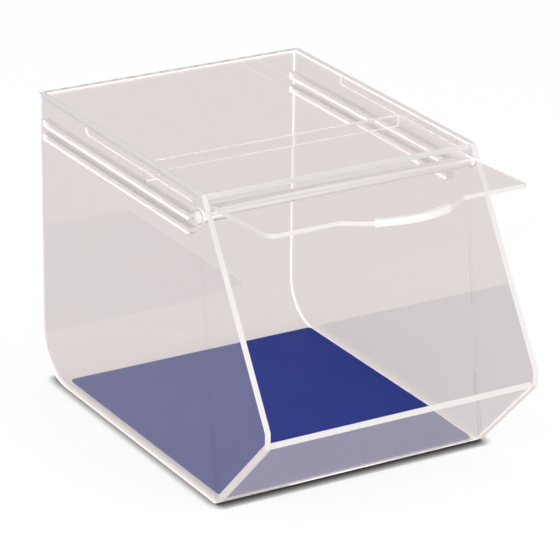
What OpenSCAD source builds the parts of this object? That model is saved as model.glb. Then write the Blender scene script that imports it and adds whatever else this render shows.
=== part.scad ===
// Countertop bin for loose goods, glued from clear sheet, with a lid that
// slides on a cross rod and on runners under the top.
// Millimetres. X runs across, Y from the mouth (-Y) to the back (+Y), Z up.
// The base lies on Z = 0 and the body is centred on X = 0 and Y = 0.

/* [Body] */
// Overall width across the two side panels
body_w = 200; // [170:1:260]
// Overall depth from the back face to the lip
body_d = 300; // [285:1:330]
// Overall height of the body
body_h = 200; // [185:1:240]
// Thickness of the body sheets
sheet = 4; // [3:0.5:5]
// Depth of the flat base, from the back face to the front bend
base_d = 240; // [225:1:250]
// Outer radius of the bend between back and base
rear_bend_r = 34; // [15:1:50]
// Outer radius of the bend between base and sloping front
front_bend_r = 6; // [5.5:0.5:10]
// Height of the lip above the table
lip_h = 61.5; // [50:0.5:75]
// Upright step of each side panel above the lip
cheek_h = 11; // [4:0.5:20]
// Depth of the top, from the back face to its front edge
top_d = 220; // [205:1:230]

/* [Cross rod] */
// Diameter of the cross rod
rod_d = 8; // [7.5:0.5:9]
// Rod axis below the top of the body
rod_drop = 14; // [12.6:0.2:15]
// Rod axis behind the front edge of the top
rod_back = 0.5; // [0:0.5:3]
// Hole for the rod's plug in each side panel
hole_d = 6; // [5:0.25:6.25]
// Radial clearance of the plug in that hole
plug_clear = 0.05; // [0.02:0.01:0.1]
// Diameter of the plug's head
head_d = 12; // [10:0.5:14]
// Thickness of the plug's head at its rim
head_t = 1.2; // [0.8:0.1:2]
// Diameter of the raised middle of the head
boss_d = 7.6; // [6.5:0.1:9]
// Height of the raised middle of the head
boss_t = 0.8; // [0.4:0.1:1.5]
// Length of the plug inside the rod
plug_reach = 10; // [6:0.5:16]
// End play between rod or head and panel
end_play = 0.2; // [0.1:0.05:0.5]

/* [Lid] */
// Thickness of the lid sheet
lid_t = 3; // [2.5:0.5:3.5]
// Lid behind the rod axis
lid_back = 81.5; // [60:0.5:100]
// Lid in front of the rod axis, without the tab
lid_front = 71.5; // [50:0.5:85]
// Rise of the front part from the rod on, in degrees
lid_lift = 3.2; // [0.5:0.1:5]
// Outer radius of the bend into the rear flange
flange_r = 4; // [3.6:0.2:6]
// Gap between the lid and each side guide
lid_side = 0.4; // [0.2:0.1:1]
// Running gap over the rod and the runners
rest_gap = 0.05; // [0.02:0.01:0.1]
// Radius of the lid's front corners
lid_corner = 6; // [1:0.5:8]
// Width of the finger tab
tab_w = 88; // [70:1:110]
// Reach of the finger tab
tab_d = 17.5; // [12:0.5:22]

/* [Grip strip] */
// Width of the strip along the tab
grip_w = 54; // [30:1:60]
// Wall of the strip around the sheet
grip_t = 1; // [0.6:0.1:1.5]
// Depth of the strip over the sheet
grip_in = 3; // [2:0.5:5]

/* [Runners and guides] */
// Width and height of each runner
runner = 5; // [4:0.5:6]
// Slot between upper and lower runner
runner_slot = 4.6; // [3:0.2:8]
// Top of the upper runner below the top of the body
runner_drop = 18; // [17:0.5:20]
// Front end of the runners behind the rod axis
runner_back = 16; // [12:0.5:40]
// Thickness of the side guides
guide_w = 2; // [1.5:0.1:3]
// Height of the side guides
guide_h = 5.5; // [4:0.5:7]
// Front end of the side guides behind the rod axis
guide_back = 13; // [10:0.5:40]
// Rear end of the side guides in front of the back face
guide_end = 65; // [40:1:100]

/* [Floor mat] */
// Thickness of the mat
mat_t = 1; // [0.5:0.1:2]
// Gap between the mat and the side panels
mat_gap = 3; // [0.5:0.5:6]
// Corner radius of the mat
mat_r = 3; // [1:0.5:20]

/* [Hidden] */
$fn = 96;
hw = body_w / 2;
hd = body_d / 2;
inner = hw - sheet;
top_front = hd - top_d;
foot_y = hd - base_d;
slope = atan2(lip_h, foot_y + hd);
rod_y = top_front + rod_back;
rod_z = body_h - rod_drop;
plug_r = hole_d / 2 - plug_clear;
run_z = body_h - runner_drop;
lid_half = inner - guide_w - lid_side;
lid_z = rod_z + rod_d / 2 + rest_gap;
lid_rear = rod_y + lid_back;
flange_z = run_z + rest_gap;
tab_r = (tab_w * tab_w / 4 + tab_d * tab_d) / (2 * tab_d);
grip_a = asin(grip_w / 2 / tab_r);

CLEAR = [0.93, 0.92, 0.92, 0.35];
BLUE = [0.10, 0.16, 0.48];

// Points of an arc about [y, z]
function arc(y, z, r, a0, a1, n) =
    [for (i = [0 : n]) let (a = a0 + (a1 - a0) * i / n) [y + r * cos(a), z + r * sin(a)]];

// Extrudes a profile drawn in Y and Z along X, from x0 to x1
module across(x0, x1) {
    translate([x0, 0, 0]) rotate([90, 0, 90]) linear_extrude(x1 - x0) children();
}

module left_hand() {
    mirror([1, 0, 0]) children();
}

// Side profile of the body
// The circle of the front bend touches the outer lines of base and slope.
bend_y = foot_y + front_bend_r * tan(slope / 2);
rear_y = hd - rear_bend_r;

outer_line = concat(
    arc(rear_y, rear_bend_r, rear_bend_r, 360, 270, 36),
    arc(bend_y, front_bend_r, front_bend_r, 270, 270 - slope, 8),
    [[-hd, lip_h]]);

inner_line = concat(
    [[-hd + sheet * sin(slope), lip_h + sheet * cos(slope)]],
    arc(bend_y, front_bend_r, front_bend_r - sheet, 270 - slope, 270, 8),
    arc(rear_y, rear_bend_r, rear_bend_r - sheet, 270, 360, 36));

// Side panels, cut to the full profile and drilled for the rod's plugs
module side_panel() {
    difference() {
        across(inner, hw)
            polygon(concat([[hd, body_h]], outer_line,
                [[-hd, lip_h + cheek_h], [top_front, body_h]]));
        translate([inner - 1, rod_y, rod_z]) rotate([0, 90, 0])
            cylinder(d = hole_d, h = sheet + 2);
    }
}

module side_panel_left() color(CLEAR) left_hand() side_panel();

module side_panel_right() color(CLEAR) side_panel();

// Back, base and sloping front, one sheet bent twice
module formed_sheet() {
    color(CLEAR) across(-inner, inner)
        polygon(concat([[hd - sheet, body_h], [hd, body_h]], outer_line, inner_line));
}

// Top panel between the side panels
module top_panel() {
    color(CLEAR) translate([-inner, top_front, body_h - sheet])
        cube([2 * inner, top_d - sheet, sheet]);
}

// Runners on the inner faces of the side panels, rounded below at the front
module runner_bar(z_top) {
    y0 = rod_y + runner_back;
    r = runner * 0.8;
    across(inner - runner, inner) {
        translate([y0 + r, z_top - runner]) square([hd - sheet - y0 - r, runner]);
        translate([y0, z_top - runner + r]) square([r + 1, runner - r]);
        intersection() {
            translate([y0, z_top - runner]) square([r + 1, r + 0.5]);
            translate([y0 + r, z_top - runner + r]) circle(r = r);
        }
    }
}

module upper_runner_left() color(CLEAR) left_hand() runner_bar(run_z);

module upper_runner_right() color(CLEAR) runner_bar(run_z);

module lower_runner_left() color(CLEAR) left_hand() runner_bar(run_z - runner - runner_slot);

module lower_runner_right() color(CLEAR) runner_bar(run_z - runner - runner_slot);

// Side guides under the top, which keep the lid between the side panels
module side_guide() {
    r = guide_h / 2;
    z0 = body_h - sheet - guide_h;
    across(inner - guide_w, inner) difference() {
        translate([rod_y + guide_back, z0])
            square([hd - guide_end - rod_y - guide_back, guide_h]);
        translate([hd - guide_end - r, z0 - 1]) difference() {
            square([r + 1, r + 1]);
            translate([0, r + 1]) circle(r = r);
        }
    }
}

module side_guide_left() color(CLEAR) left_hand() side_guide();

module side_guide_right() color(CLEAR) side_guide();

// Mat on the base
module floor_mat() {
    y0 = bend_y + 1;
    x0 = inner - mat_gap;
    color(BLUE) translate([0, 0, sheet]) linear_extrude(mat_t) {
        translate([-x0 + mat_r, y0]) square([2 * (x0 - mat_r), rear_y - y0]);
        translate([-x0, y0 + mat_r]) square([2 * x0, rear_y - y0 - 2 * mat_r]);
        for (x = [-1, 1], y = [y0 + mat_r, rear_y - mat_r])
            translate([x * (x0 - mat_r), y]) circle(r = mat_r);
    }
}

// Cross rod, bored at both ends for the plugs
module cross_rod() {
    half = inner - end_play;
    color(CLEAR) translate([0, rod_y, rod_z]) rotate([0, 90, 0]) difference() {
        cylinder(d = rod_d, h = 2 * half, center = true);
        for (z = [-half - 1, half - plug_reach])
            translate([0, 0, z]) cylinder(r = plug_r, h = plug_reach + 1);
    }
}

// Rod plug, a headed pin through the side panel into the rod
module rod_plug() {
    x_head = hw + end_play;
    color(CLEAR) translate([0, rod_y, rod_z]) rotate([0, 90, 0]) rotate_extrude() polygon([
        [0, inner - end_play - plug_reach], [plug_r - 0.5, inner - end_play - plug_reach],
        [plug_r, inner - end_play - plug_reach + 0.5], [plug_r, x_head],
        [head_d / 2, x_head], [head_d / 2, x_head + head_t / 2],
        [head_d / 2 - head_t / 2, x_head + head_t], [boss_d / 2, x_head + head_t],
        [boss_d / 2 - boss_t, x_head + head_t + boss_t], [0, x_head + head_t + boss_t]]);
}

module rod_plug_left() left_hand() rod_plug();

module rod_plug_right() rod_plug();

// Side profile of the lid, from the flange foot over the bend to the tab
module lid_profile() {
    c = cos(lid_lift);
    s = sin(lid_lift);
    tip = lid_front + tab_d + 5;
    bend = [lid_rear - flange_r, lid_z + lid_t - flange_r];
    polygon(concat(
        [[lid_rear - lid_t, flange_z], [lid_rear, flange_z]],
        arc(bend[0], bend[1], flange_r, 0, 90, 12),
        [[rod_y, lid_z + lid_t], [rod_y - tip * c, lid_z + lid_t + tip * s],
            [rod_y - tip * c - lid_t * s, lid_z + lid_t - lid_t * c + tip * s],
            [rod_y - lid_t * tan(lid_lift / 2), lid_z]],
        arc(bend[0], bend[1], flange_r - lid_t, 90, 0, 8)));
}

// Plan outline of the lid, measured from the rod axis
module lid_plan() {
    difference() {
        translate([-lid_half, -lid_front]) square([2 * lid_half, lid_front + lid_back + 5]);
        for (x = [-1, 1]) translate([x * lid_half, -lid_front]) difference() {
            square(2 * lid_corner, center = true);
            translate([-x * lid_corner, lid_corner]) circle(r = lid_corner);
        }
    }
    intersection() {
        translate([0, -lid_front - tab_d + tab_r]) circle(r = tab_r);
        translate([-tab_w / 2 - 1, -lid_front - tab_d - 1]) square([tab_w + 2, tab_d + 2]);
    }
}

// Lid, one sheet bent down at the rear and up at the rod
module lid() {
    color(CLEAR) intersection() {
        across(-lid_half, lid_half) lid_profile();
        translate([0, rod_y, lid_z]) rotate([-lid_lift, 0, 0])
            translate([0, 0, -30]) linear_extrude(60) lid_plan();
    }
}

// Grip strip, a channel pushed over the tab's edge
module lid_grip() {
    h = lid_t + 2 * grip_t;
    color(CLEAR) translate([0, rod_y, lid_z]) rotate([-lid_lift, 0, 0])
        translate([0, -lid_front - tab_d + tab_r, lid_t / 2])
            rotate([0, 0, 270 - grip_a]) rotate_extrude(angle = 2 * grip_a)
                translate([tab_r, 0]) difference() {
                    translate([-grip_in, -h / 2]) square([grip_in + grip_t, h]);
                    translate([-grip_in - 1, -lid_t / 2 - 0.02])
                        square([grip_in + 1.02, lid_t + 0.04]);
                }
}

side_panel_left();
side_panel_right();
formed_sheet();
top_panel();
upper_runner_left();
upper_runner_right();
lower_runner_left();
lower_runner_right();
side_guide_left();
side_guide_right();
floor_mat();
cross_rod();
rod_plug_left();
rod_plug_right();
lid();
lid_grip();
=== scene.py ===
# %% [markdown]
# # A clear acrylic bin with a sliding lid
#
# This lesson dresses a finished CAD model. The real bin is made in a plastics
# workshop from clear cast sheet: flat blanks are sawn, their edges are polished,
# two of them are bent over a hot wire, and all are joined with a thin solvent.
# What the eye reads on such an object is hardly the faces, which show what is
# behind them, but the edges, which are bright. So each sheet is modelled again
# here with its own edge finish and its own small rounding.

# %% The frame
import bpy, bmesh, math
from mathutils import Matrix, Vector


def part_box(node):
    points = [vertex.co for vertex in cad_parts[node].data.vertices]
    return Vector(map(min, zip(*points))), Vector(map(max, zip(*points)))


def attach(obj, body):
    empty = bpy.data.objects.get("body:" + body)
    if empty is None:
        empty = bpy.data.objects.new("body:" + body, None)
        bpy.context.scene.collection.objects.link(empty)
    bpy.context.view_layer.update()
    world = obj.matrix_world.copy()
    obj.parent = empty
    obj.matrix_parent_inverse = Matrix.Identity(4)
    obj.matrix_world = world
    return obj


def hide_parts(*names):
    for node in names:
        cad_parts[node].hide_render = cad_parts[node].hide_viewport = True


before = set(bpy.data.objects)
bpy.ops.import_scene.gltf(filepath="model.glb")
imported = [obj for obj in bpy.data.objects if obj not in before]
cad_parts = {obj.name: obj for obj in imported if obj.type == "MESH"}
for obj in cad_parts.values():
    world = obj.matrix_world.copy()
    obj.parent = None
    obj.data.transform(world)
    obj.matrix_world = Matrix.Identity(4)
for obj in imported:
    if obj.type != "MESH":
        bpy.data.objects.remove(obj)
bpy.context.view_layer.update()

# %% [markdown]
# ## Sizes
#
# Everything is in metres here, so the workshop's millimetres are multiplied by
# one factor. Places come from the CAD nodes' boxes. Only what a box can't
# tell, such as a bend's radius, is written down as a size of its own.

# %% Sizes
MM = 0.001
GLUE = 0.04 * MM             # thickness of a solvent joint
ARRIS = 0.35 * MM            # rounding left by polishing an edge
SLACK = 0.02 * MM            # how far a picked point may lie from its place
WELD = 0.002 * MM            # points closer than this become one
CREASE = math.radians(40)    # a sharper turn than this stays an edge

shell_low, shell_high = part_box("formed_sheet")
side_low, side_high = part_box("side_panel_right")
top_low, top_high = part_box("top_panel")
rod_low, rod_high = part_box("cross_rod")
lid_low, lid_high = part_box("lid")
mat_low, mat_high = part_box("floor_mat")

SHEET = side_high[0] - side_low[0]
LID_SHEET = 3 * MM
WALL_X = side_low[0]                          # inner face of the right side panel
BACK_Y, LIP_Y, TOP_Z = shell_high[1], shell_low[1], shell_high[2]
FOOT_Y, LIP_Z = -90 * MM, 61.5 * MM           # where base and slope meet, and the lip
CHEEK_Z = LIP_Z + 11 * MM                     # top of the side panels' upright step
REAR_BEND, FRONT_BEND = 34 * MM, 6 * MM
SLOPE = math.atan2(LIP_Z, FOOT_Y - LIP_Y)
ROD_Y = (rod_low[1] + rod_high[1]) / 2
ROD_Z = (rod_low[2] + rod_high[2]) / 2
ROD_R = (rod_high[2] - rod_low[2]) / 2
print("sheet %.1f mm, slope %.1f degrees, rod at y %.1f z %.1f mm"
      % (SHEET / MM, math.degrees(SLOPE), ROD_Y / MM, ROD_Z / MM))

# %% [markdown]
# ## Four small helpers
#
# An operator works on whatever is selected, so the first helper leaves one piece
# selected, as a click on it would. The next two pick points, edges or faces by
# where they are. Every piece here runs across the bin, so a place is a depth y and
# a height z. The last rounds a piece's edges and hands it to the frame. The small
# roundings take the edge's own finish, since it is they that catch the light.

# %% Helpers for modelling
def work_on(piece, mode="OBJECT"):
    """Leave this piece alone selected, and in edit mode all of it."""
    if bpy.context.object and bpy.context.object.mode != "OBJECT":
        bpy.ops.object.mode_set(mode="OBJECT")
    bpy.ops.object.select_all(action="DESELECT")
    piece.select_set(True)
    bpy.context.view_layer.objects.active = piece
    if mode == "EDIT":
        bpy.ops.object.mode_set(mode="EDIT")
        bpy.ops.mesh.select_all(action="SELECT")


def near(y, z):
    """A test for points at this depth and height."""
    return lambda co: abs(co.y - y) < SLACK and abs(co.z - z) < SLACK


def pick(piece, wanted, kind="EDGE"):
    """Select the points, edges or faces whose points all pass the test."""
    bpy.ops.mesh.select_mode(type=kind)
    bpy.ops.mesh.select_all(action="DESELECT")
    mesh = bmesh.from_edit_mesh(piece.data)
    for part in {"VERT": mesh.verts, "EDGE": mesh.edges, "FACE": mesh.faces}[kind]:
        places = [part.co] if kind == "VERT" else [v.co for v in part.verts]
        if all(wanted(place) for place in places):
            part.select_set(True)
    bmesh.update_edit_mesh(piece.data)


def finish(piece, name, body, nodes, slot, arris=ARRIS, segments=2):
    """Round the edges, set the normals, hide the CAD nodes and attach the piece to its body."""
    work_on(piece)
    if arris:
        rounding = piece.modifiers.new("arris", "BEVEL")
        rounding.width, rounding.segments = arris, segments
        rounding.limit_method, rounding.angle_limit = "ANGLE", CREASE
        rounding.material = min(1, len(piece.data.materials) - 1)
        bpy.ops.object.modifier_apply(modifier=rounding.name)
        work_on(piece, "EDIT")
        bpy.ops.mesh.remove_doubles(threshold=WELD)
        bpy.ops.mesh.dissolve_degenerate(threshold=WELD)
        bpy.ops.object.mode_set(mode="OBJECT")
    bpy.ops.object.transform_apply(location=True, rotation=True, scale=True)
    bpy.ops.object.shade_smooth_by_angle(angle=CREASE)
    weighted = piece.modifiers.new("flat faces stay flat", "WEIGHTED_NORMAL")
    weighted.keep_sharp = True
    bpy.ops.object.modifier_apply(modifier=weighted.name)
    piece.name = piece.data.name = name
    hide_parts(*nodes)
    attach(piece, body)
    size = [(max(v.co[i] for v in piece.data.vertices)
             - min(v.co[i] for v in piece.data.vertices)) / MM for i in range(3)]
    print(name, "%.1f x %.1f x %.1f mm," % tuple(size), len(piece.data.polygons), "faces")

# %% [markdown]
# ## Materials
#
# Each material is named for the real stuff. Colours are written as the hex
# values one would pick on a screen, and one function turns them to the linear
# values that the shader works with. One more adds a node with its settings and
# its links.
#
# A wave texture repeats each time its coordinate grows by a twentieth of a full
# turn, so its scale for a real spacing in metres is worked out by a function.

# %% Helpers for materials
def colour(hex_value):
    channels = [int(hex_value[i:i + 2], 16) / 255 for i in (0, 2, 4)]
    return [c / 12.92 if c < 0.04045 else ((c + 0.055) / 1.055) ** 2.4 for c in channels] + [1]


def wave_scale(spacing):
    return 2 * math.pi / 20 / spacing


def add_node(tree, kind, settings=(), links=()):
    node = tree.nodes.new("ShaderNode" + kind)
    for key, value in dict(settings).items():
        if isinstance(key, int) or key in node.inputs:
            node.inputs[key].default_value = value
        else:
            setattr(node, key, value)
    for key, socket in dict(links).items():
        tree.links.new(socket, node.inputs[key])
    return node


def new_material(name):
    material = bpy.data.materials.new(name)
    material.use_nodes = True
    material.node_tree.nodes.clear()
    print("material", name)
    return material, material.node_tree


def let_lamps_through(tree, shader):
    """Clear plastic hardly dims a lamp, so shadow rays pass as through air."""
    path = add_node(tree, "LightPath")
    air = add_node(tree, "BsdfTransparent")
    mixed = add_node(tree, "MixShader", links={
        0: path.outputs["Is Shadow Ray"], 1: shader.outputs[0], 2: air.outputs[0]})
    add_node(tree, "OutputMaterial", links={"Surface": mixed.outputs[0]})

# %% [markdown]
# Cast acrylic, poured between glass plates and polished by them. Its index is
# 1.49. It is clear all through, so the faces only get a trace of handling:
# patches of finger grease some 30 mm across, and the very long waves of a cast
# sheet, which bend a reflection a little. The reflection itself is set weaker than
# the real one, as a polarising filter on the lens does, so that what lies behind
# a panel keeps its colour.

# %% Cast acrylic sheet
cast_acrylic, tree = new_material("cast_acrylic_sheet")
place = add_node(tree, "TexCoord")
grease = add_node(tree, "TexNoise", {"Scale": 1 / (30 * MM), "Detail": 4.0},
                  {"Vector": place.outputs["Object"]})
haze = add_node(tree, "MapRange", {1: 0.45, 2: 0.75, 3: 0.0, 4: 0.05},
                {0: grease.outputs[0]})
waves = add_node(tree, "TexNoise", {"Scale": 1 / (80 * MM), "Detail": 0.0},
                 {"Vector": place.outputs["Object"]})
ripple = add_node(tree, "Bump", {"Strength": 0.15, "Distance": 0.1 * MM},
                  {"Height": waves.outputs[0]})
sheet_shader = add_node(tree, "BsdfPrincipled", {
    "Base Color": colour("FEFDFD"), "IOR": 1.49, "Specular IOR Level": 0.2,
    "Transmission Weight": 1.0},
    {"Roughness": haze.outputs[0], "Normal": ripple.outputs[0]})
let_lamps_through(tree, sheet_shader)

# %% [markdown]
# The sawn and polished edge of the same sheet. Light that enters through the
# faces is led along inside the sheet and leaves here, so an edge looks bright
# where a face looks like what is behind it. Following that light through the
# plastic would take far too many bounces, so the edge is made a pale surface. From
# outside it has the soft gloss of polish over saw marks 0.6 mm apart. From inside
# the plastic, which Geometry's Backfacing output tells, it is a screen that glows
# with the light from beyond it and throws back what comes from within.

# %% Polished edge
polished_edge, tree = new_material("polished_acrylic_edge")
place = add_node(tree, "TexCoord")
saw = add_node(tree, "TexNoise", {"Scale": 1 / (0.6 * MM), "Detail": 2.0},
               {"Vector": place.outputs["Object"]})
marks = add_node(tree, "Bump", {"Strength": 0.2, "Distance": 0.05 * MM},
                 {"Height": saw.outputs[0]})
from_outside = add_node(tree, "BsdfPrincipled", {
    "Base Color": colour("EBE8E7"), "IOR": 1.49, "Roughness": 0.3},
    {"Normal": marks.outputs[0]})
glow = add_node(tree, "BsdfTranslucent", {"Color": colour("F4F1F0")})
sent_back = add_node(tree, "BsdfDiffuse", {"Color": colour("F4F1F0")})
from_inside = add_node(tree, "AddShader", links={0: glow.outputs[0], 1: sent_back.outputs[0]})
side = add_node(tree, "NewGeometry")
edge_shader = add_node(tree, "MixShader", links={
    0: side.outputs["Backfacing"], 1: from_outside.outputs[0], 2: from_inside.outputs[0]})
add_node(tree, "OutputMaterial", links={"Surface": edge_shader.outputs[0]})

# %% [markdown]
# The top edge of the back was left as the saw cut it. The blade leaves slanting
# marks, and the cut looks a little greyer. The bottom of each mark is darker, which
# is painted shade in the grooves. Real marks are 1 to 2 mm apart. Here they are 10 mm
# apart, so that they still show from where the camera stands.

# %% Sawn edge
sawn_edge, tree = new_material("sawn_acrylic_edge")
place = add_node(tree, "TexCoord")
slant = add_node(tree, "Mapping", {"Rotation": (0, 0, math.radians(35))},
                 {"Vector": place.outputs["Object"]})
teeth = add_node(tree, "TexWave", {"Scale": wave_scale(10.05 * MM), "Distortion": 1.5},
                 {"Vector": slant.outputs[0]})
scratches = add_node(tree, "Bump", {"Strength": 0.5, "Distance": 0.1 * MM},
                     {"Height": teeth.outputs[1]})
# The cut's own grey, with painted shade where each saw mark is low.
cut_grey_and_groove_shade = add_node(tree, "Mix", {
    "data_type": "RGBA", 6: colour("D5D0CD"), 7: colour("ECE9E7")}, {0: teeth.outputs[1]})
sawn_shader = add_node(tree, "BsdfPrincipled", {"IOR": 1.49, "Roughness": 0.45}, {
    "Base Color": cut_grey_and_groove_shade.outputs[2], "Normal": scratches.outputs[0]})
add_node(tree, "OutputMaterial", links={"Surface": sawn_shader.outputs[0]})

# %% [markdown]
# Extruded acrylic for the rod. It was drawn through a die, so the real rod is as
# clear as the sheet and carries streaks along its length, about 1.5 mm apart, drawn
# here as bumps. Its pale colour is painted light: a milky base with lighter and darker
# streaks stands in for the bright look and streaky highlights of the clear rod. A
# Mapping node stretches a noise a hundredfold along X to draw them.

# %% Acrylic rod
rod_acrylic, tree = new_material("extruded_acrylic_rod")
place = add_node(tree, "TexCoord")
stretch = add_node(tree, "Mapping", {"Scale": (0.01, 1, 1)}, {"Vector": place.outputs["Object"]})
streaks = add_node(tree, "TexNoise", {"Scale": 1 / (1.5 * MM), "Detail": 1.0},
                   {"Vector": stretch.outputs[0]})
drawn = add_node(tree, "Bump", {"Strength": 0.4, "Distance": 0.1 * MM},
                 {"Height": streaks.outputs[0]})
painted_streak_mask = add_node(tree, "MapRange", {1: 0.4, 2: 0.6, 3: 0.0, 4: 1.0},
                 {0: streaks.outputs[0]})
# Painted light: a pale base with lighter and darker streaks stands in for the rod's bright look and
# streaky highlights.
pale_rod_and_painted_streaks = add_node(tree, "Mix", {"data_type": "RGBA", 6: colour("DEDAD9"), 7: colour("FEFDFD")},
                {0: painted_streak_mask.outputs[0]})
rod_shader = add_node(tree, "BsdfPrincipled", {
    "IOR": 1.49, "Transmission Weight": 0.35, "Roughness": 0.14}, {
    "Base Color": pale_rod_and_painted_streaks.outputs[2], "Normal": drawn.outputs[0]})
let_lamps_through(tree, rod_shader)

# %% [markdown]
# The plugs are turned on a lathe from the same rod. The tool leaves fine rings
# about the plug's own axis, so a Mapping node brings that axis to the middle of the
# pattern. Real rings are about 0.2 mm apart, too fine to show, so they are drawn
# 1.6 mm apart. Between the head's rim and its raised middle less light comes out,
# and the distance from the axis picks out that groove for a greyer tone.

# %% Turned plug
GROOVE_MIDDLE, GROOVE_HALF = 4.7 * MM, 0.6 * MM
turned_acrylic, tree = new_material("turned_acrylic_plug")
place = add_node(tree, "TexCoord")
centred = add_node(tree, "Mapping", {"Location": (0, -ROD_Y, -ROD_Z)},
                   {"Vector": place.outputs["Object"]})
rings = add_node(tree, "TexWave", {"wave_type": "RINGS", "rings_direction": "X",
                                   "Scale": wave_scale(1.571 * MM), "Distortion": 0.3},
                 {"Vector": centred.outputs[0]})
turning = add_node(tree, "Bump", {"Strength": 0.3, "Distance": 0.03 * MM},
                   {"Height": rings.outputs[1]})
flat_yz = add_node(tree, "Mapping", {"Scale": (0, 1, 1)}, {"Vector": centred.outputs[0]})
radius = add_node(tree, "VectorMath", {"operation": "LENGTH"}, {0: flat_yz.outputs[0]})
in_groove = add_node(tree, "Math", {"operation": "COMPARE", 1: GROOVE_MIDDLE, 2: GROOVE_HALF},
                     {0: radius.outputs["Value"]})
plug_tone = add_node(tree, "Mix", {
    "data_type": "RGBA", 6: colour("FBFAFA"), 7: colour("CFCBC9")}, {0: in_groove.outputs[0]})
plug_shader = add_node(tree, "BsdfPrincipled", {
    "IOR": 1.49, "Transmission Weight": 0.15, "Roughness": 0.2}, {
    "Base Color": plug_tone.outputs[2], "Normal": turning.outputs[0]})
let_lamps_through(tree, plug_shader)

# %% [markdown]
# The grip strip is soft clear vinyl. Next to the acrylic it is cloudy, so most of
# the light is scattered near its surface and little passes straight through. The
# mat is blue polypropylene sheet, duller than acrylic, with a fine grain 1.2 mm wide
# embossed on its top.

# %% Vinyl and polypropylene
clear_vinyl, tree = new_material("soft_clear_vinyl")
place = add_node(tree, "TexCoord")
cloud = add_node(tree, "TexNoise", {"Scale": 1 / (12 * MM), "Detail": 1.0},
                 {"Vector": place.outputs["Object"]})
soft = add_node(tree, "MapRange", {1: 0.3, 2: 0.7, 3: 0.3, 4: 0.36}, {0: cloud.outputs[0]})
vinyl_shader = add_node(tree, "BsdfPrincipled", {
    "Base Color": colour("F6F4F3"), "IOR": 1.52, "Transmission Weight": 0.15},
    {"Roughness": soft.outputs[0]})
let_lamps_through(tree, vinyl_shader)

blue_mat, tree = new_material("blue_polypropylene")
place = add_node(tree, "TexCoord")
grain = add_node(tree, "TexVoronoi", {"Scale": 1 / (1.2 * MM)}, {"Vector": place.outputs["Object"]})
pressed = add_node(tree, "Bump", {"Strength": 0.35, "Distance": 0.08 * MM},
                   {"Height": grain.outputs["Distance"]})
wear = add_node(tree, "TexNoise", {"Scale": 1 / (45 * MM), "Detail": 5.0},
                {"Vector": place.outputs["Object"]})
shade = add_node(tree, "Mix", {"data_type": "RGBA", 6: colour("27358C"), 7: colour("2F429C")},
                 {0: wear.outputs[0]})
mat_shader = add_node(tree, "BsdfPrincipled", {
    "Roughness": 0.55, "IOR": 1.49, "Specular IOR Level": 0.15}, {
    "Base Color": shade.outputs[2], "Normal": pressed.outputs[0]})
add_node(tree, "OutputMaterial", links={"Surface": mat_shader.outputs[0]})

# %% [markdown]
# A sheet wears two materials, its faces the first and its rim the second. Solidify
# can give the rim its own one as it turns a flat blank into sheet.

# %% Sheet from a blank
SHEET_AND_EDGE = (cast_acrylic, polished_edge)


def give(piece, *materials):
    piece.data.materials.clear()
    for material in materials:
        piece.data.materials.append(material)


def thicken(piece, thickness, side=-1):
    """Turn a flat blank into sheet. The rim takes the second material."""
    give(piece, *SHEET_AND_EDGE)
    solid = piece.modifiers.new("sheet", "SOLIDIFY")
    solid.thickness, solid.offset = thickness, side
    solid.use_even_offset, solid.material_offset_rim = True, 1
    work_on(piece)
    bpy.ops.object.modifier_apply(modifier=solid.name)

# %% [markdown]
# ## Side panels
#
# Each side is one flat blank. As in the workshop it starts as a rectangle, two
# straight cuts make the sloping front below and the slanted mouth above, and
# the two lower corners are rounded to follow the bends of the formed sheet.
# The left panel is a mirrored copy.

# %% Side panel, cut from a rectangle
def cut(piece, point, normal):
    """Saw the blank straight through this point and drop what the normal points at."""
    work_on(piece, "EDIT")
    bpy.ops.mesh.bisect(plane_co=point, plane_no=normal, use_fill=False, clear_outer=True)
    bpy.ops.object.mode_set(mode="OBJECT")


def round_corner(piece, y, z, radius, turn, segments):
    """Round a corner of the blank at y, z, where its outline turns by this angle."""
    work_on(piece, "EDIT")
    pick(piece, near(y, z), "VERT")
    bpy.ops.mesh.bevel(offset=radius * math.tan(turn / 2), segments=segments, profile=0.5,
                       affect="VERTICES")
    bpy.ops.object.mode_set(mode="OBJECT")


depth, height = BACK_Y - LIP_Y, TOP_Z
bpy.ops.object.select_all(action="DESELECT")
bpy.ops.mesh.primitive_plane_add(size=1, location=(WALL_X + GLUE, 0, height / 2),
                                 rotation=(0, math.pi / 2, 0))
right_side = bpy.context.object
right_side.scale = (height, depth, 1)
bpy.ops.object.transform_apply(location=True, rotation=True, scale=True)
cut(right_side, (0, LIP_Y, LIP_Z), (0, -math.sin(SLOPE), -math.cos(SLOPE)))
mouth = Vector((0, top_low[1] - LIP_Y, TOP_Z - CHEEK_Z)).normalized()
cut(right_side, (0, LIP_Y, CHEEK_Z), (0, -mouth.z, mouth.y))
round_corner(right_side, BACK_Y, 0, REAR_BEND, math.pi / 2, 24)
round_corner(right_side, FOOT_Y, 0, FRONT_BEND, SLOPE, 8)
thicken(right_side, SHEET - GLUE, side=1)
print("side panel faces", len(right_side.data.polygons))

# %% [markdown]
# Two things are left on a side panel: the hole that the rod's plug turns in,
# drilled with a Boolean, and the polish on its edges.

# %% Side panel, drilled and copied
def drill(piece, cutter):
    """Take the cutter out of the piece, and the cutter away."""
    tool = piece.modifiers.new("drill", "BOOLEAN")
    tool.operation, tool.solver, tool.object = "DIFFERENCE", "EXACT", cutter
    work_on(piece)
    bpy.ops.object.modifier_apply(modifier=tool.name)
    bpy.data.objects.remove(cutter)


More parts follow.
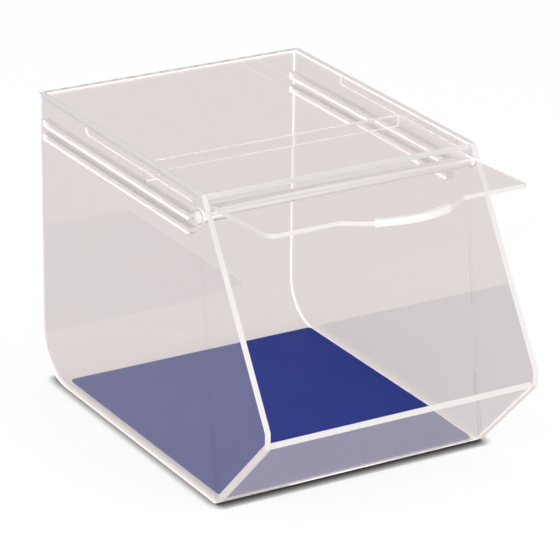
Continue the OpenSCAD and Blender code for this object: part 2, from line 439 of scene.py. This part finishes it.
def rod_along_x(radius, low_x, high_x):
    """A round bar on the cross rod's axis."""
    bpy.ops.object.select_all(action="DESELECT")
    bpy.ops.mesh.primitive_cylinder_add(
        vertices=64, radius=radius, depth=high_x - low_x,
        location=((low_x + high_x) / 2, ROD_Y, ROD_Z), rotation=(0, math.pi / 2, 0))
    bar = bpy.context.object
    bpy.ops.object.transform_apply(location=True, rotation=True, scale=True)
    return bar


HOLE_R, OVERCUT = 3 * MM, 2 * MM
bore = rod_along_x(HOLE_R, WALL_X - OVERCUT, WALL_X + SHEET + OVERCUT)
give(bore, *SHEET_AND_EDGE)
for face in bore.data.polygons:
    face.material_index = 1
drill(right_side, bore)


def mirrored(piece, name, *rest):
    """A copy on the other side of X = 0, with its faces turned outwards again."""
    twin = piece.copy()
    twin.data = piece.data.copy()
    bpy.context.collection.objects.link(twin)
    work_on(twin)
    twin.scale = (-1, 1, 1)
    bpy.ops.object.transform_apply(location=True, rotation=True, scale=True)
    work_on(twin, "EDIT")
    bpy.ops.mesh.normals_make_consistent(inside=False)
    bpy.ops.object.mode_set(mode="OBJECT")
    finish(twin, name, *rest)


finish(right_side, "side_sheet_right", "shell", ["side_panel_right"], "clear_acrylic")
mirrored(right_side, "side_sheet_left", "shell", ["side_panel_left"], "clear_acrylic", 0)

# %% [markdown]
# ## The formed sheet
#
# Back, base and sloping front are one blank, bent over a hot wire. A bent sheet
# is easiest as a ribbon of its outer face: a plane for the back, its lower edge
# extruded twice, both creases bevelled to the outer radius of the bend, and the
# ribbon thickened inwards, so that the sheet stays 4 mm in the bends too.

# %% Formed sheet
def extrude_edge(piece, wanted, step):
    """Draw one edge of the ribbon out into a new face."""
    pick(piece, wanted)
    bpy.ops.mesh.extrude_edges_move(TRANSFORM_OT_translate={"value": step})


bpy.ops.object.select_all(action="DESELECT")
bpy.ops.mesh.primitive_plane_add(size=1, location=(0, BACK_Y, TOP_Z / 2),
                                 rotation=(math.pi / 2, 0, 0))
formed = bpy.context.object
formed.scale = (2 * (WALL_X - GLUE), TOP_Z, 1)
bpy.ops.object.transform_apply(location=True, rotation=True, scale=True)
work_on(formed, "EDIT")
extrude_edge(formed, near(BACK_Y, 0), (0, FOOT_Y - BACK_Y, 0))
extrude_edge(formed, near(FOOT_Y, 0), (0, LIP_Y - FOOT_Y, LIP_Z))
for y, radius, turn, segments in ((BACK_Y, REAR_BEND, math.pi / 2, 24),
                                  (FOOT_Y, FRONT_BEND, SLOPE, 8)):
    pick(formed, near(y, 0))
    bpy.ops.mesh.bevel(offset=radius * math.tan(turn / 2), segments=segments, profile=0.5)
bpy.ops.mesh.select_all(action="SELECT")
bpy.ops.mesh.normals_make_consistent(inside=False)
bpy.ops.object.mode_set(mode="OBJECT")
back_face = max(formed.data.polygons, key=lambda face: face.center.z)
thicken(formed, SHEET, side=-1 if back_face.normal.y > 0 else 1)
formed.data.materials.append(sawn_edge)
for face in formed.data.polygons:
    if face.normal.z > 0.9 and face.center.z > TOP_Z - SLACK:
        face.material_index = 2
finish(formed, "back_base_front_sheet", "shell", ["formed_sheet"], "clear_acrylic")

# %% [markdown]
# ## Top panel, runners and side guides
#
# Straight bars and panels, sawn from sheet. Each is cut from a box to its
# CAD place, with the joint's thickness left free at the walls, and its ends are
# rounded where fingers and the lid pass.

# %% Straight pieces
def blank(low, high):
    """A square bar or panel between two corners."""
    bpy.ops.object.select_all(action="DESELECT")
    bpy.ops.mesh.primitive_cube_add(size=1, location=[(a + b) / 2 for a, b in zip(low, high)])
    bar = bpy.context.object
    bar.scale = [b - a for a, b in zip(low, high)]
    bpy.ops.object.transform_apply(location=True, rotation=True, scale=True)
    give(bar, *SHEET_AND_EDGE)
    return bar


def polish(piece, is_edge):
    """Give the second material to the faces whose normal passes the test."""
    for face in piece.data.polygons:
        face.material_index = 1 if is_edge(face.normal) else 0


def round_end(piece, y, z, radius):
    """Round the edge across a bar at this depth and height."""
    work_on(piece, "EDIT")
    pick(piece, near(y, z))
    bpy.ops.mesh.bevel(offset=radius, segments=8, profile=0.5)
    bpy.ops.object.mode_set(mode="OBJECT")


top_sheet = blank((-WALL_X + GLUE, top_low[1], top_low[2]),
                  (WALL_X - GLUE, top_high[1] - GLUE, top_high[2]))
polish(top_sheet, lambda n: abs(n.z) < 0.5)
finish(top_sheet, "top_sheet", "shell", ["top_panel"], "clear_acrylic")

NOSE = 0.8                   # share of a runner's height that its front end is rounded by
for level in ("upper", "lower"):
    low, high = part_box(level + "_runner_right")
    bar = blank(low, (WALL_X - GLUE, high[1] - GLUE, high[2]))
    round_end(bar, low[1], low[2], NOSE * (high[2] - low[2]))
    polish(bar, lambda n: abs(n.x) < 0.5)
    finish(bar, level + "_runner_bar_right", "shell", [level + "_runner_right"], "clear_acrylic")
    mirrored(bar, level + "_runner_bar_left", "shell", [level + "_runner_left"],
             "clear_acrylic", 0)

low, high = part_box("side_guide_right")
guide = blank(low, (WALL_X - GLUE, high[1], high[2] - GLUE))
round_end(guide, high[1], low[2], (high[2] - low[2]) / 2)
polish(guide, lambda n: abs(n.x) < 0.5)
finish(guide, "side_guide_strip_right", "shell", ["side_guide_right"], "clear_acrylic")
mirrored(guide, "side_guide_strip_left", "shell", ["side_guide_left"], "clear_acrylic", 0)

# %% [markdown]
# ## Floor mat
#
# A thin blue sheet cut a little smaller than the base, with snipped, rounded
# corners. It is loose, so it lies on the base and doesn't touch the walls.

# %% Floor mat
MAT_CORNER, MAT_ARRIS = 3 * MM, 0.2 * MM
bpy.ops.object.select_all(action="DESELECT")
bpy.ops.mesh.primitive_plane_add(size=1,
                                 location=(0, (mat_low[1] + mat_high[1]) / 2, mat_high[2]))
mat_piece = bpy.context.object
mat_piece.scale = (mat_high[0] - mat_low[0], mat_high[1] - mat_low[1], 1)
bpy.ops.object.transform_apply(location=True, rotation=True, scale=True)
work_on(mat_piece, "EDIT")
bpy.ops.mesh.select_mode(type="VERT")
bpy.ops.mesh.bevel(offset=MAT_CORNER, segments=6, profile=0.5, affect="VERTICES")
bpy.ops.object.mode_set(mode="OBJECT")
thicken(mat_piece, mat_high[2] - mat_low[2] - GLUE)
give(mat_piece, blue_mat)
for face in mat_piece.data.polygons:
    face.material_index = 0
finish(mat_piece, "blue_floor_mat", "shell", ["floor_mat"], "blue_plastic", MAT_ARRIS)

# %% [markdown]
# ## Cross rod and plugs
#
# The rod is drilled at both ends, and a turned plug goes through each side panel
# into it, so the rod turns as the lid is pulled over it. A plug is a cylinder
# for the head, whose inner face is inset to the shank's size and drawn out.

# %% Cross rod
PLUG_R, PLUG_REACH = 2.95 * MM, 10 * MM
BORE_PLAY, BORE_END = 0.03 * MM, 0.1 * MM
SMALL_ARRIS = 0.3 * MM
rod = rod_along_x(ROD_R, rod_low[0], rod_high[0])
give(rod, rod_acrylic)
for side in (-1, 1):
    end = rod_high[0] * side
    bore = rod_along_x(PLUG_R + BORE_PLAY, *sorted((end - side * (PLUG_REACH + BORE_END),
                                                    end + side * OVERCUT)))
    give(bore, rod_acrylic)
    drill(rod, bore)
finish(rod, "cross_rod_bar", "rod", ["cross_rod"], "clear_rod", SMALL_ARRIS)

# %% Rod plugs
HEAD_R, RIM, BOSS_R, BOSS = 6 * MM, 1.2 * MM, 3.8 * MM, 0.8 * MM
BOSS_RING, HEAD_ARRIS = 1.2 * MM, 0.4 * MM
plug_low, plug_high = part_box("rod_plug_right")
rim_x = plug_high[0] - BOSS - RIM
plug = rod_along_x(HEAD_R, rim_x, rim_x + RIM)
give(plug, turned_acrylic)
work_on(plug, "EDIT")
pick(plug, lambda co: abs(co.x - rim_x) < SLACK, "FACE")
bpy.ops.mesh.inset(thickness=HEAD_R - PLUG_R)
bpy.ops.mesh.extrude_region_move(TRANSFORM_OT_translate={"value": (plug_low[0] - rim_x, 0, 0)})
pick(plug, lambda co: abs(co.x - rim_x - RIM) < SLACK, "FACE")
bpy.ops.mesh.inset(thickness=HEAD_R - BOSS_R)
bpy.ops.mesh.extrude_region_move(TRANSFORM_OT_translate={"value": (BOSS, 0, 0)})
bpy.ops.mesh.inset(thickness=BOSS_RING)
bpy.ops.object.mode_set(mode="OBJECT")
finish(plug, "rod_plug_pin_right", "rod", ["rod_plug_right"], "clear_rod", HEAD_ARRIS, 3)
mirrored(plug, "rod_plug_pin_left", "rod", ["rod_plug_left"], "clear_rod", 0)

# %% [markdown]
# ## Lid
#
# One 3 mm blank again, bent down at the rear into a flange and a few degrees up
# where it lies on the rod. It is made as the formed sheet is, from a ribbon of
# its top face. For the round finger tab the front edge is divided, and its points
# are moved out to an arc, which gives one clean face with no joint to hide. Only
# then is the ribbon thickened, so the tab's rim is as square as the rest.

# %% Lid ribbon
FLANGE_BEND, CORNER, FLANGE_CORNER = 4 * MM, 6 * MM, 2 * MM
RUNNING_GAP = 0.05 * MM
LIFT = math.radians(3.2)
FRONT, TAB_W, TAB_D = 71.5 * MM, 88 * MM, 17.5 * MM
TAB_R = (TAB_W ** 2 / 4 + TAB_D ** 2) / (2 * TAB_D)
lid_top = ROD_Z + ROD_R + RUNNING_GAP + LID_SHEET
edge_y, edge_z = ROD_Y - FRONT * math.cos(LIFT), lid_top + FRONT * math.sin(LIFT)
bpy.ops.object.select_all(action="DESELECT")
bpy.ops.mesh.primitive_plane_add(size=1, location=(0, (ROD_Y + lid_high[1]) / 2, lid_top))
lid_sheet = bpy.context.object
lid_sheet.scale = (lid_high[0] - lid_low[0], lid_high[1] - ROD_Y, 1)
bpy.ops.object.transform_apply(location=True, rotation=True, scale=True)
work_on(lid_sheet, "EDIT")
extrude_edge(lid_sheet, near(lid_high[1], lid_top), (0, 0, lid_low[2] - lid_top))
extrude_edge(lid_sheet, near(ROD_Y, lid_top), (0, edge_y - ROD_Y, edge_z - lid_top))
pick(lid_sheet, near(lid_high[1], lid_top))
bpy.ops.mesh.bevel(offset=FLANGE_BEND, segments=10, profile=0.5)
for y, z, radius in ((edge_y, edge_z, CORNER), (lid_high[1], lid_low[2], FLANGE_CORNER)):
    pick(lid_sheet, near(y, z), "VERT")
    bpy.ops.mesh.bevel(offset=radius, segments=8, profile=0.5, affect="VERTICES")
bpy.ops.object.mode_set(mode="OBJECT")

# %% Finger tab
ARC_POINTS = 49
forwards = Vector((0, -math.cos(LIFT), math.sin(LIFT)))
work_on(lid_sheet, "EDIT")
pick(lid_sheet, near(edge_y, edge_z))
bpy.ops.mesh.subdivide(number_cuts=ARC_POINTS)
front_edge = bmesh.from_edit_mesh(lid_sheet.data)
on_edge = [point for point in front_edge.verts if near(edge_y, edge_z)(point.co)]
on_edge.sort(key=lambda point: point.co.x)
for step, point in enumerate(on_edge[1:-1]):
    point.co.x = TAB_W * (step / (ARC_POINTS - 1) - 0.5)
    point.co += forwards * (math.sqrt(TAB_R ** 2 - point.co.x ** 2) - (TAB_R - TAB_D))
bmesh.update_edit_mesh(lid_sheet.data)
bpy.ops.mesh.select_all(action="SELECT")
bpy.ops.mesh.normals_make_consistent(inside=False)
bpy.ops.object.mode_set(mode="OBJECT")
flat = max(lid_sheet.data.polygons, key=lambda face: face.area)
thicken(lid_sheet, LID_SHEET, side=-1 if flat.normal.z > 0 else 1)
print("lid faces before its arris", len(lid_sheet.data.polygons))
finish(lid_sheet, "lid_sheet", "lid", ["lid"], "clear_acrylic", SMALL_ARRIS)

# %% [markdown]
# ## Grip strip
#
# A length of soft clear channel is pushed over the middle of the tab's edge. Its
# section, a U with pointed lips and a round back, is drawn once and spun about the
# tab's centre. In the drawing p runs outwards from the tab's rim and q up from the
# middle of the sheet, and only the lower half is listed, since the upper mirrors it.

# %% Grip strip
GRIP_W, GRIP_T, GRIP_IN = 54 * MM, 1 * MM, 3 * MM
RIM_PLAY, FACE_PLAY, BACK_STEPS = 0.02 * MM, 0.04 * MM, 4
half_turn = math.asin(GRIP_W / 2 / TAB_R)
inner, outer = LID_SHEET / 2 + FACE_PLAY, LID_SHEET / 2 + GRIP_T
section = [(RIM_PLAY, -inner), (-GRIP_IN, -inner),
           (-GRIP_IN - GRIP_T / 2, -inner - GRIP_T / 2), (-GRIP_IN, -outer)]
for step in range(BACK_STEPS + 1):
    angle = math.pi / 2 * step / BACK_STEPS
    section.append((math.sin(angle) * GRIP_T, -outer + GRIP_T - math.cos(angle) * GRIP_T))
section += [(p, -q) for p, q in reversed(section)]
mesh = bpy.data.meshes.new("grip")
start = math.pi + half_turn
mesh.from_pydata([(math.sin(start) * (TAB_R + p), math.cos(start) * (TAB_R + p), q)
                  for p, q in section], [], [list(range(len(section)))])
grip = bpy.data.objects.new("grip", mesh)
bpy.context.collection.objects.link(grip)
give(grip, clear_vinyl)
work_on(grip, "EDIT")
bpy.ops.mesh.spin(steps=48, angle=-2 * half_turn, center=(0, 0, 0), axis=(0, 0, 1))
bpy.ops.mesh.select_all(action="SELECT")
bpy.ops.mesh.normals_make_consistent(inside=False)
bpy.ops.object.mode_set(mode="OBJECT")
upwards = Vector((0, math.sin(LIFT), math.cos(LIFT)))
grip.rotation_euler = (-LIFT, 0, 0)
grip.location = (Vector((0, ROD_Y, lid_top)) + forwards * (FRONT + TAB_D - TAB_R)
                 - upwards * LID_SHEET / 2)
finish(grip, "tab_grip_strip", "lid", ["lid_grip"], "clear_vinyl", 0)

# %% [markdown]
# ## Floor, world and camera
#
# The bin stands in a plain pale studio. The camera sees the floor and the world
# as white. Through the clear plastic they look a warm pale grey, as a studio's
# paper sweep does once it is lit less than the paper in front. Light Path tells a
# shader what kind of ray is asking. A ray that has met the mat or an edge gets the
# plain light of the room instead.

# %% World
PALE, AMBIENT = "E1DBD9", 0.45
world = bpy.data.worlds.new("studio")
bpy.context.scene.world = world
world.use_nodes = True
tree = world.node_tree
tree.nodes.clear()
path = add_node(tree, "LightPath")
light = add_node(tree, "Background", {"Color": colour("FFFFFF"), "Strength": AMBIENT})
white = add_node(tree, "Background", {"Color": colour("FFFFFF"), "Strength": 1.0})
sweep = add_node(tree, "Background", {"Color": colour(PALE), "Strength": 1.0})
through = add_node(tree, "Math", {"operation": "MAXIMUM"}, {
    0: path.outputs["Is Glossy Ray"], 1: path.outputs["Is Transmission Ray"]})
seen = add_node(tree, "Math", {"operation": "SUBTRACT", "use_clamp": True}, {
    0: through.outputs[0], 1: path.outputs["Diffuse Depth"]})
lit = add_node(tree, "MixShader", links={
    0: seen.outputs[0], 1: light.outputs[0], 2: sweep.outputs[0]})
both = add_node(tree, "MixShader", links={
    0: path.outputs["Is Camera Ray"], 1: lit.outputs[0], 2: white.outputs[0]})
add_node(tree, "OutputWorld", links={"Surface": both.outputs[0]})
print("world strength %.2f on the mat and the edges" % AMBIENT)

# %% [markdown]
# Less than half of the paper's tone comes from the lamps. The rest is a glow of its
# own, which keeps it even. A glowing floor has no dark line where something stands
# on it, so a contact shadow is painted into its tone: an Ambient Occlusion node takes
# the tone down within 7 mm of the bin, where the camera looks straight at the paper.

# %% Floor
FLOOR_SIZE, FLOOR_DROP, NOOK = 8, 0.05 * MM, 7 * MM
GLOW_SHARE, GLOW = 0.6, 1.13
paper, tree = new_material("studio_paper")
path = add_node(tree, "LightPath")
tone = add_node(tree, "Mix", {"data_type": "RGBA", 6: colour(PALE), 7: colour("FFFFFF")},
                {0: path.outputs["Is Camera Ray"]})
# Painted contact shadow: the paper's colour is darkened near the bin for camera rays.
openness = add_node(tree, "AmbientOcclusion", {"Distance": NOOK, "samples": 8})
fall_off = add_node(tree, "Math", {"operation": "POWER", 1: 1.8}, {0: openness.outputs["AO"]})
contact = add_node(tree, "Mix", {"data_type": "FLOAT", 2: 1.0},
                   {0: path.outputs["Is Camera Ray"], 3: fall_off.outputs[0]})
tone_with_painted_shadow = add_node(tree, "VectorMath", {"operation": "SCALE"},
                    {0: tone.outputs[2], "Scale": contact.outputs[0]})
shaded = add_node(tree, "BsdfDiffuse", links={"Color": tone_with_painted_shadow.outputs[0]})
even = add_node(tree, "Emission", {"Strength": GLOW}, {"Color": tone_with_painted_shadow.outputs[0]})
paper_shader = add_node(tree, "MixShader", {0: GLOW_SHARE},
                        {1: shaded.outputs[0], 2: even.outputs[0]})
add_node(tree, "OutputMaterial", links={"Surface": paper_shader.outputs[0]})
bpy.ops.object.select_all(action="DESELECT")
bpy.ops.mesh.primitive_plane_add(size=FLOOR_SIZE, location=(0, 0, -FLOOR_DROP))
floor = bpy.context.object
floor.name = "studio_floor"
give(floor, paper)
print("floor %.0f m wide, contact shade within %.0f mm" % (FLOOR_SIZE, NOOK / MM))

# %% [markdown]
# Four softboxes light the bin: a strong one to the left of the mouth, one to the
# right of it, and weak ones above and behind. They light the mat and the edges but
# aren't mirrored or seen through the sheets. A panel that mirrored a white softbox
# would vanish against the white background.

# %% Lamps
def softbox(turn, lift, share, size=2.4, away=4.0):
    """A square lamp aimed at the bin. Its share is how white it makes paper facing it."""
    turn, lift = math.radians(turn), math.radians(lift)
    place = Vector((math.sin(turn) * math.cos(lift), -math.cos(turn) * math.cos(lift),
                    math.sin(lift)))
    bpy.ops.object.light_add(type="AREA", location=place * away)
    lamp = bpy.context.object
    lamp.data.size, lamp.data.energy = size, share * (math.pi * away) ** 2
    lamp.rotation_euler = place.to_track_quat("Z", "Y").to_euler()
    lamp.visible_camera = lamp.visible_transmission = lamp.visible_glossy = False


SOFTBOXES = ((-62, 24, 0.42), (18, 20, 0.36), (0, 90, 0.1), (150, 55, 0.08))
for turn, lift, share in SOFTBOXES:
    softbox(turn, lift, share)
print(len(SOFTBOXES), "softboxes")

# %% [markdown]
# The camera stands well back, as for a catalogue picture, to the left of the
# mouth and above the lid.

# %% Camera
AZIMUTH, ELEVATION, ROLL = math.radians(-30.89), math.radians(22.12), math.radians(0.81)
DISTANCE, AIM = 2.167, Vector((-0.0014, 0, 0.1003))
LENS, SENSOR = 214.4, 36     # millimetres, as Blender has them
back = Vector((math.sin(AZIMUTH) * math.cos(ELEVATION), -math.cos(AZIMUTH) * math.cos(ELEVATION),
               math.sin(ELEVATION)))
right = Vector((math.cos(AZIMUTH), math.sin(AZIMUTH), 0))
up = back.cross(right)
right, up = (right * math.cos(ROLL) + up * math.sin(ROLL),
             up * math.cos(ROLL) - right * math.sin(ROLL))
bpy.ops.object.camera_add()
camera = bpy.context.object
camera.matrix_world = Matrix.Translation(AIM + back * DISTANCE) @ Matrix(
    (right, up, back)).transposed().to_4x4()
camera.data.lens, camera.data.sensor_width = LENS, SENSOR
bpy.context.scene.camera = camera
print("camera %.2f m away" % DISTANCE)

# %% [markdown]
# Light that is caught inside a sheet is mirrored many times before it leaves, and
# each turn counts as a glossy bounce. With Blender's usual limits the edges that are
# seen from inside the plastic turn black, so the limits are raised.

# %% Light paths and view
DEEP, DIFFUSE = 96, 12
scene = bpy.context.scene
scene.view_settings.view_transform = "Standard"
scene.cycles.max_bounces = scene.cycles.transmission_bounces = DEEP
scene.cycles.glossy_bounces = scene.cycles.transparent_max_bounces = DEEP
scene.cycles.diffuse_bounces = DIFFUSE
print("up to", DEEP, "bounces,", DIFFUSE, "of them diffuse")
